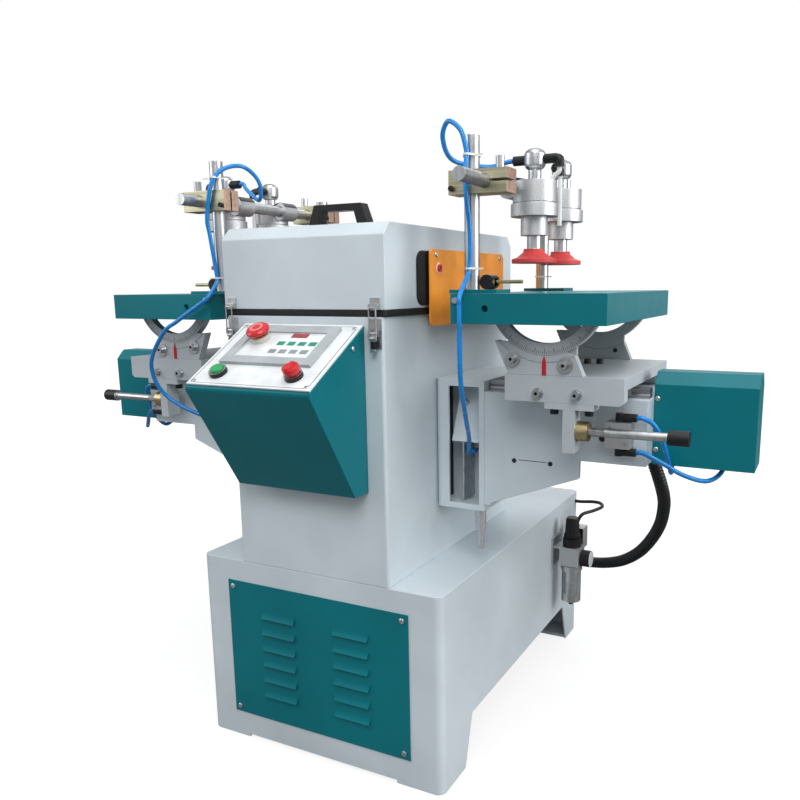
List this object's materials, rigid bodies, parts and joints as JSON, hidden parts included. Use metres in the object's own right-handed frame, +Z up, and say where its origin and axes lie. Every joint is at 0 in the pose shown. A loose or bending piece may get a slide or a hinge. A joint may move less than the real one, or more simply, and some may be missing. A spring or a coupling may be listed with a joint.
{
  "type": "tenoning machine",
  "caption": "Floor-standing tenoner with a latched cutter hood, sloped control box and mirrored tilting clamp tables.",
  "frame": {"origin": "on the floor, in the middle of the machine's whole footprint without its air tubes", "axes": "+Z up, +Y from the control box to the back, +X to the station on the right as seen from the front"},
  "size_m": [1.424, 0.916, 1.1369],
  "materials": {
    "body_paint": "satin light blue-grey paint",
    "teal_paint": "satin teal paint",
    "guard_orange": "orange guard sheet",
    "bright_steel": "ground and plated steel",
    "cast_aluminium": "grey cast aluminium",
    "zinc_steel": "yellow passivated steel",
    "black_plastic": "black plastic",
    "black_rubber": "black rubber",
    "pad_rubber": "red rubber",
    "white_panel": "white panel film",
    "red_plastic": "red button plastic",
    "green_plastic": "green button plastic",
    "blue_tube": "blue polyurethane tube"
  },
  "bodies": {
    "frame": {"base_cabinet": "body_paint", "louvre_panel": "teal_paint", "column": "body_paint", "column_seal": "black_rubber", "control_box": "teal_paint", "control_panel": "white_panel", "display_unit": "white_panel", "button_bezels": "black_plastic", "frame_screws": "bright_steel", "side_casings": "body_paint", "beds": "body_paint", "guide_rails": "bright_steel", "end_covers": "teal_paint", "limit_valves": "cast_aluminium", "feed_cylinders": "bright_steel", "hood_mounts": "bright_steel", "air_regulator": "cast_aluminium", "conduit": "black_plastic", "electrics_plate": "bright_steel", "fixed_tubes": "blue_tube"},
    "spindle_slide": {"spindle_slide": "cast_aluminium"},
    "spindle_head": {"spindle_head": "teal_paint"},
    "cutter": {"cutter_head": "bright_steel"},
    "hood": {"hood": "body_paint", "side_guards": "guard_orange", "hood_hardware": "black_plastic"},
    "estop": {"estop_button": "red_plastic"},
    "start_button": {"start_button": "green_plastic"},
    "stop_button": {"stop_button": "red_plastic"},
    "regulator_knob": {"regulator_knob": "black_plastic"},
    "right_latch_lever": {"right_latch_lever": "bright_steel"},
    "right_latch_bail": {"right_latch_bail": "bright_steel"},
    "right_carriage": {"right_carriage": "body_paint", "right_carriage_hardware": "bright_steel", "right_cradles": "cast_aluminium", "right_feed_handle": "body_paint", "right_lower_tube": "blue_tube"},
    "right_table": {"right_table": "teal_paint", "right_trunnions": "cast_aluminium", "right_post_set": "bright_steel", "right_upper_tube": "blue_tube"},
    "right_holddown": {"right_holddown": "zinc_steel", "right_cylinders": "cast_aluminium"},
    "right_front_pad": {"right_front_pad": "pad_rubber"},
    "right_rear_pad": {"right_rear_pad": "pad_rubber"},
    "left_latch_lever": {"left_latch_lever": "bright_steel"},
    "left_latch_bail": {"left_latch_bail": "bright_steel"},
    "left_carriage": {"left_carriage": "body_paint", "left_carriage_hardware": "bright_steel", "left_cradles": "cast_aluminium", "left_feed_handle": "body_paint", "left_lower_tube": "blue_tube"},
    "left_table": {"left_table": "teal_paint", "left_trunnions": "cast_aluminium", "left_post_set": "bright_steel", "left_upper_tube": "blue_tube"},
    "left_holddown": {"left_holddown": "zinc_steel", "left_cylinders": "cast_aluminium"},
    "left_front_pad": {"left_front_pad": "pad_rubber"},
    "left_rear_pad": {"left_rear_pad": "pad_rubber"}
  },
  "joints": [
    {"name": "hood_hinge", "type": "hinge", "parent": "frame", "child": "hood", "pos_m": [0, 0.2353, 0.838], "axis": [-1, 0, 0], "range_deg": [0, 75]},
    {"name": "spindle_cross", "type": "slide", "parent": "frame", "child": "spindle_slide", "axis": [0, 1, 0], "range_m": [-0.025, 0.025]},
    {"name": "spindle_height", "type": "slide", "parent": "spindle_slide", "child": "spindle_head", "axis": [0, 0, 1], "range_m": [-0.025, 0.025]},
    {"name": "cutter_spin", "type": "hinge", "parent": "spindle_head", "child": "cutter", "pos_m": [0, -0.066, 0.885], "axis": [1, 0, 0], "continuous": true},
    {"name": "regulator_turn", "type": "hinge", "parent": "frame", "child": "regulator_knob", "pos_m": [0.3, 0.286, 0.3], "axis": [0, 0, 1], "range_deg": [-150, 150]},
    {"name": "estop_press", "type": "slide", "parent": "frame", "child": "estop", "axis": [0, 0.5087, -0.8609], "range_m": [0, 0.004], "stiffness_N_per_m": 1500, "springref_m": -0.003},
    {"name": "start_press", "type": "slide", "parent": "frame", "child": "start_button", "axis": [0, 0.5087, -0.8609], "range_m": [0, 0.003], "stiffness_N_per_m": 500, "springref_m": -0.003},
    {"name": "stop_press", "type": "slide", "parent": "frame", "child": "stop_button", "axis": [0, 0.5087, -0.8609], "range_m": [0, 0.003], "stiffness_N_per_m": 500, "springref_m": -0.003},
    {"name": "right_latch_lever_swing", "type": "hinge", "parent": "frame", "child": "right_latch_lever", "pos_m": [0.148, -0.312, 0.801], "axis": [-1, 0, 0], "range_deg": [0, 120]},
    {"name": "right_latch_bail_swing", "type": "hinge", "parent": "right_latch_lever", "child": "right_latch_bail", "pos_m": [0.148, -0.315, 0.793], "axis": [-1, 0, 0], "range_deg": [-120, 0]},
    {"name": "right_feed", "type": "slide", "parent": "frame", "child": "right_carriage", "axis": [1, 0, 0], "range_m": [-0.03, 0.015]},
    {"name": "right_table_tilt", "type": "hinge", "parent": "right_carriage", "child": "right_table", "pos_m": [0.398, -0.304, 0.863], "axis": [0, 1, 0], "range_deg": [0, 20]},
    {"name": "right_holddown_height", "type": "slide", "parent": "right_table", "child": "right_holddown", "axis": [0, 0, 1], "range_m": [-0.015, 0]},
    {"name": "right_front_clamp", "type": "slide", "parent": "right_holddown", "child": "right_front_pad", "axis": [0, 0, 1], "range_m": [-0.03, 0], "stiffness_N_per_m": 300, "springref_m": 0.03},
    {"name": "right_rear_clamp", "type": "slide", "parent": "right_holddown", "child": "right_rear_pad", "axis": [0, 0, 1], "range_m": [-0.03, 0], "stiffness_N_per_m": 300, "springref_m": 0.03},
    {"name": "left_latch_lever_swing", "type": "hinge", "parent": "frame", "child": "left_latch_lever", "pos_m": [-0.148, -0.312, 0.801], "axis": [-1, 0, 0], "range_deg": [0, 120]},
    {"name": "left_latch_bail_swing", "type": "hinge", "parent": "left_latch_lever", "child": "left_latch_bail", "pos_m": [-0.148, -0.315, 0.793], "axis": [-1, 0, 0], "range_deg": [-120, 0]},
    {"name": "left_feed", "type": "slide", "parent": "frame", "child": "left_carriage", "axis": [-1, 0, 0], "range_m": [-0.03, 0.015]},
    {"name": "left_table_tilt", "type": "hinge", "parent": "left_carriage", "child": "left_table", "pos_m": [-0.398, -0.304, 0.863], "axis": [0, -1, 0], "range_deg": [0, 20]},
    {"name": "left_holddown_height", "type": "slide", "parent": "left_table", "child": "left_holddown", "axis": [0, 0, 1], "range_m": [-0.015, 0]},
    {"name": "left_front_clamp", "type": "slide", "parent": "left_holddown", "child": "left_front_pad", "axis": [0, 0, 1], "range_m": [-0.03, 0], "stiffness_N_per_m": 300, "springref_m": 0.03},
    {"name": "left_rear_clamp", "type": "slide", "parent": "left_holddown", "child": "left_rear_pad", "axis": [0, 0, 1], "range_m": [-0.03, 0], "stiffness_N_per_m": 300, "springref_m": 0.03}
  ],
  "couplings": [
    {"joint": "right_latch_bail_swing", "follows": "right_latch_lever_swing", "ratio": -1},
    {"joint": "left_latch_bail_swing", "follows": "left_latch_lever_swing", "ratio": -1}
  ]
}
